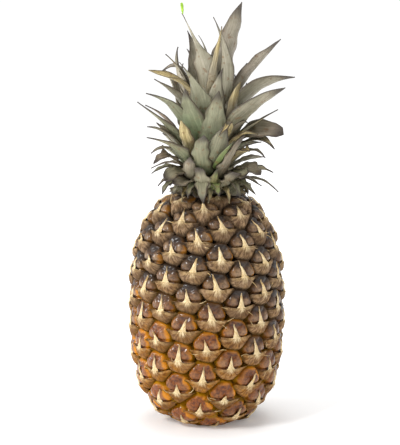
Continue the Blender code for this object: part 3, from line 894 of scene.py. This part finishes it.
def makeScar(material):
    # Where the stalk was cut: a fibrous disc sunk in the middle of the flat base.
    builder = bmesh.new()
    profile = [(radius * mm, 0, level * mm) for radius, level in scar["outline"]]
    spinProfile(builder, profile, scar["sides"])
    for vertex in builder.verts:
        turn, radius = atan2(vertex.co.y, vertex.co.x), hypot(vertex.co.x, vertex.co.y)
        frays = sin(turn * 13) * sin(turn * 5 + 1)
        vertex.co.z += scar["fray"] * frays * radius / scar["frayRadius"]
    # an open disc may face either way, and this one is seen from below
    builder.normal_update()
    for face in builder.faces:
        if face.normal.z > 0:
            face.normal_flip()
    addPiece("stalkScar", builder, material, "fruit")


# Materials: the words for nodes are at the top. Lengths in the attributes are millimetres.

patterns = {
    # noise cells to a metre, each with the size of its marks
    "rindMottle": 420,  # 2.4 mm
    "rindBlotch": 130,  # 7.7 mm
    "bractBlotch": 190,  # 5.3 mm
    "leafCloud": 55,  # 18 mm
    "leafSpeck": 260,  # 3.8 mm
    "tipGrain": 400,  # 2.5 mm
    "scarGrain": 700,  # 1.4 mm
}


def plainMaterial(name, dark, light, scale):
    # Plant fibre with a fine grain, for the green tip and the cut stalk.
    material, shader, add = newMaterial(name)
    grain = add("noise", add("place"), scale, 6, 0.7)
    colour = add("mix", add("ease", grain, 0.35, 0.65), dark, light)
    relief = add("bump", 0.6, 0.4 * mm, grain)
    connect(shader, {"Base Color": colour, "Roughness": 0.65, "Normal": relief})
    return material


def rindMaterial():
    # Pineapple rind: fused sepals with a waxy skin, glossy on the domes and corky in the seams.
    material, shader, add = newMaterial("waxy pineapple rind")
    across, up, border = add("parts", add("attribute", attribute_name="eyePlace"))
    ripe, first, second = add("parts", add("attribute", attribute_name="eyeTint"))
    mottle = add("noise", add("place"), patterns["rindMottle"], 6, 0.75)
    blotch = add("noise", add("place"), patterns["rindBlotch"], 5)
    drift = add("minus", blotch, 0.5)
    grain = add("ease", mottle, 0.36, 0.64)
    skin = add("mix", grain, "#25150a", "#583a22")
    skin = add("mix", ripe, skin, add("mix", grain, "#542405", "#9a520a"))
    # grey bloom in the middle of each lobe, to each side of the spine
    aside = add("minus", add("absolute", across), dome["lobeAside"])
    over = add("times", add("minus", up, 5.5), 0.8)
    away = add("timesPlus", drift, 9.0, add("length", add("join", aside, over)))
    dusty = add("times", add("ease", away, 5.0, 0.4), add("ease", mottle, 0.32, 0.62, 0.25, 1.0))
    dusty = add("times", dusty, add("ease", second, 0.0, 1.0, 0.35, 0.95))
    skin = add("mix", dusty, skin, add("mix", ripe, "#967959", "#8e5e32"))
    # brown to orange flank, most of all at the upper right
    spread = add("timesPlus", drift, 6.0, border)
    flank = add("times", add("ease", spread, 5.2, 2.4), add("ease", across, -9.0, 7.0, 0.25, 1.0))
    glow = add("ease", add("timesPlus", first, 0.6, ripe), 0.2, 1.1)
    skin = add("mix", flank, skin, add("mix", glow, "#63431c", "#d08300"))
    # painted shade: green domes darken to near black towards their top, under the bract of the eye above
    shaded = add("times", add("ease", up, 6.0, 12.5, 0.0, 0.85), add("ease", ripe, 0.6, 0.1, 0.1, 1.0))
    skin = add("mix", shaded, skin, "#160f09")
    # bands along the seams and round the domes' corners, dark on green eyes as painted shadow and
    # olive-gold on ripe eyes; the seams themselves, near black on green eyes as painted groove shade; and
    # painted shade behind the bract
    outer = add("length", add("join", across, add("minus", up, dome["centre"])))
    rounded = add("timesPlus", drift, 2.0, add("minus", 12.4, outer))
    bandAndShadow = add("smaller", add("timesPlus", drift, 2.2, border), rounded)
    for share, dark, light in (
        (add("ease", bandAndShadow, 1.6, 0.6), "#241708", "#b07c06"),
        (add("ease", border, 0.5, 0.1), "#0b0603", "#5d4004"),
        (add("ease", up, 0.6, -0.4), "#1a1007", "#8a6206"),
    ):
        skin = add("mix", share, skin, add("mix", ripe, dark, light))
    rough = add("timesPlus", mottle, 0.12, add("ease", border, 0.6, 2.6, 0.75, 0.4))
    connect(shader, {
        "Base Color": skin, "Roughness": rough, "Specular IOR Level": 0.2, "Coat Weight": 0.5,
        "Coat Roughness": 0.14, "Normal": add("bump", 0.5, 0.7 * mm, mottle),
    })
    return material


def bractMaterial():
    # Dried bract: papery fibre that fans out from the spine's foot, matt and grey-tan.
    material, shader, add = newMaterial("dried fibrous bract")
    across, up, border = add("parts", add("attribute", attribute_name="bractPlace"))
    ripe, first, second = add("parts", add("attribute", attribute_name="bractTint"))
    blotch = add("noise", add("place"), patterns["bractBlotch"], 5)
    # fibres a sixth of a radian apart, drawn out to 4.5 mm along their length
    angle = add("arctan", across, add("minus", 3.0, up))
    reach = add("length", add("join", across, up))
    fan = add("timesPlus", angle, 6.0, add("times", blotch, 2.4))
    fan = add("join", fan, add("times", reach, 0.22), add("times", first, 40.0))
    fibre = add("noise", fan, 1.0, 6, 0.75)
    strand = add("ease", fibre, 0.36, 0.64)
    paper = add("mix", strand, "#453120", "#8c6e49")
    pink = add("mix", strand, "#5a4432", "#a68a6b")
    paper = add("mix", add("ease", blotch, 0.38, 0.62, 0.2, 0.9), paper, pink)
    warm = add("times", ripe, add("ease", blotch, 0.35, 0.6, 1.0, 0.65))
    paper = add("mix", warm, paper, add("mix", strand, "#713f06", "#b17414"))
    paper = add("mix", add("ease", second, 0.5, 1.0, 0.0, 0.45), paper, "#4e3a28")
    # the flare of the spine runs down into the fibres and the upper edge is pale
    apart = add("absolute", across)
    lip = add("times", add("ease", up, -0.9, 0.0), add("ease", apart, 12.0, 4.0, 0.05, 0.4))
    paper = add("mix", lip, paper, add("mix", strand, "#9a7a4c", "#cbb080"))
    flare = add("times", add("ease", apart, 4.0, 0.8), add("ease", up, -4.4, 0.6))
    flare = add("times", flare, add("ease", strand, 0.0, 1.0, 0.3, 1.0))
    spine = add("larger", flare, add("ease", up, 0.5, 1.2))
    paper = add("mix", spine, paper, add("mix", strand, "#c4a166", "#f5e3bb"))
    paper = add("mix", add("ease", up, 6.5, 13.0, 0.0, 0.6), paper, "#7d5b30")
    # a dark frayed rim where the paper tucks into the seam, its darkness partly painted shade of the seam,
    # olive on ripe eyes
    frayed = add("timesPlus", add("minus", fibre, 0.5), 3.0, border)
    rim = add("times", add("ease", frayed, 1.2, -1.6, 0.0, 0.85), add("ease", up, 0.6, 0.2))
    paper = add("mix", rim, paper, add("mix", ripe, "#33261a", "#7b5a10"))
    connect(shader, {
        "Base Color": paper, "Roughness": 0.7, "Specular IOR Level": 0.12,
        "Normal": add("bump", 0.85, 0.7 * mm, fibre),
    })
    return material


def leafMaterial():
    # Bromeliad leaf: tough fibre under a grey waxy bloom, greener at the foot, dried at the tip.
    material, shader, add = newMaterial("waxy fibrous leaf")
    side, length, share = add("parts", add("attribute", attribute_name="leafPlace"))
    green, dry, mauve = add("parts", add("attribute", attribute_name="leafTint"))
    edge, draw, foot = add("parts", add("attribute", attribute_name="leafEdge"))
    # fibres 0.8 mm wide, drawn out to 22 mm along the blade
    grain = add("join", add("times", side, 1.3), add("times", length, 0.045), add("times", draw, 50.0))
    fibre = add("ease", add("noise", grain, 1.0, 6, 0.7), 0.33, 0.67)
    blotch = add("noise", add("place"), patterns["leafCloud"], 6, 0.6)
    speck = add("noise", add("place"), patterns["leafSpeck"], 3)
    cloud = add("times", add("ease", blotch, 0.32, 0.66), 0.55)
    tones = add("timesPlus", fibre, 0.45, cloud)
    patches = add("ease", blotch, 0.35, 0.65, 0.6, 1.3)
    colour = add("mix", tones, "#646148", "#a8a388")
    greenShare = add("times", green, add("ease", share, 0.2, 0.95, 1.0, 0.25))
    leafGreen = add("mix", tones, "#47633a", "#869c70")
    colour = add("mix", add("times", greenShare, patches), colour, leafGreen)
    purpleShare = add("times", mauve, add("ease", share, 0.1, 0.7, 0.35, 1.0))
    purple = add("mix", tones, "#564738", "#a39384")
    colour = add("mix", add("times", purpleShare, patches), colour, purple)
    bright = add("mix", fibre, "#5c6f2a", "#8a9c4e")
    colour = add("mix", add("ease", green, 1.0, 1.3, 0.0, 0.8), colour, bright)
    # the young inner leaves carry the thickest bloom
    young = add("times", add("ease", foot, 20.0, 46.0, 0.0, 0.4), add("ease", blotch, 0.3, 0.6, 0.6, 1.0))
    colour = add("mix", young, colour, add("mix", fibre, "#a5a08b", "#d3cdb8"))
    # dried patches spread from the tip
    dryShare = add("timesPlus", dry, 0.8, add("times", blotch, 0.5))
    dryShare = add("plus", dryShare, add("ease", share, 0.6, 1.0, 0.0, 0.3))
    dried = add("mix", fibre, "#8c7743", "#ddcb96")
    colour = add("mix", add("ease", dryShare, 0.72, 1.1), colour, dried)
    colour = add("mix", add("times", add("ease", speck, 0.58, 0.7), 0.65), colour, "#7a5a38")
    # the oldest leaves round the foot are stained brown
    stained = add("times", add("ease", foot, 16.0, 6.0), add("ease", blotch, 0.45, 0.62, 0.05, 0.75))
    stained = add("times", stained, add("ease", draw, 0.25, 0.7, 0.2, 1.0))
    colour = add("mix", stained, colour, add("mix", fibre, "#4d402c", "#92825f"))
    # dark margins as painted shade between the leaves, dark tips, one half in its own painted shade, and
    # an olive foot darkened as painted shade
    marginShade = add("ease", add("absolute", edge), 0.86, 1.0)
    marginShade = add("times", marginShade, add("ease", draw, 0.1, 0.6, 0.5, 0.95))
    rolled = add("times", edge, add("ease", draw, 0.45, 0.55, -1.0, 1.0))
    rolled = add("times", add("ease", rolled, 0.55, 0.95), add("ease", share, 0.2, 0.6, 0.2, 0.6))
    tip = add("times", add("ease", share, 0.84, 0.97), add("ease", dry, 0.9, 0.5, 0.2, 0.85))
    shaded = add("ease", share, 0.36, 0.05, 0.0, 0.85)
    layers = ((marginShade, "#3a2f20"), (rolled, "#4a3d2c"), (tip, "#352b26"), (shaded, "#333319"))
    for layer, shade in layers:
        colour = add("mix", layer, colour, shade)
    relief = add("bump", 0.6, 0.5 * mm, fibre)
    connect(shader, {"Base Color": colour, "Roughness": 0.5, "Normal": relief})
    return material


def floorMaterial():
    # Studio floor with a painted glow: emission that grows away from the fruit until the floor turns
    # white.
    material, shader, add = newMaterial("white studio floor")
    glow = add("ease", add("length", add("place")), 0.1, 0.7, 0.12, 0.55)
    connect(shader, {
        "Base Color": "#f8f8f8", "Roughness": 0.9, "Emission Color": "#ffffff", "Emission Strength": glow,
    })
    return material


# Floor and light

studio = {
    "floorSize": 6.0,
    "world": 0.62,  # light from all round
    "backdrop": 1.05,  # what the camera sees of it
    "aimLevel": 0.16,
}

lamps = {
    "key": {"place": (-1.1, -1.1, 1.3), "size": 0.45, "power": 21.0},
    "fill": {"place": (1.4, -1.0, 0.7), "size": 1.0, "power": 3.5},
    "top": {"place": (0.1, 0.4, 1.8), "size": 1.2, "power": 14.0},
    "side": {"place": (-1.3, -0.1, 0.4), "size": 0.35, "power": 6.0},
}


def makeStudio():
    builder = bmesh.new()
    bmesh.ops.create_grid(builder, x_segments=1, y_segments=1, size=studio["floorSize"] / 2)
    floor = addMesh("floor", builder, floorMaterial())
    world = bpy.data.worlds.new("studio")
    world.use_nodes = True
    seen = addNode(world.node_tree, "cameraRay")
    strength = addNode(world.node_tree, "range", seen, 0.0, 1.0, studio["world"], studio["backdrop"])
    connect(world.node_tree.nodes["Background"], {"Color": (1, 1, 1, 1), "Strength": strength})
    bpy.context.scene.world = world
    for name, lamp in lamps.items():
        light = bpy.data.lights.new(name, "AREA")
        light.size = lamp["size"]
        light.energy = lamp["power"]
        item = addObject(name, light)
        item.location = lamp["place"]
        aim = Vector((0, 0, studio["aimLevel"])) - item.location
        item.rotation_euler = aim.to_track_quat("-Z", "Y").to_euler()
    bpy.context.scene.view_settings.view_transform = "Standard"
    print("studio ready")


makeCamera()
makeStudio()
makeRind(rindMaterial())
bractLook = bractMaterial()
makeBracts(bractLook)
makeThreads(bractLook)
leafLook = leafMaterial()
makeLeaves(leafLook)
makeStem(leafLook)
makeGreenTip(plainMaterial("fresh green leaf tip", "#7fa626", "#b4dc4a", patterns["tipGrain"]))
makeScar(plainMaterial("cut stalk fibre", "#4e3a22", "#b89f78", patterns["scarGrain"]))
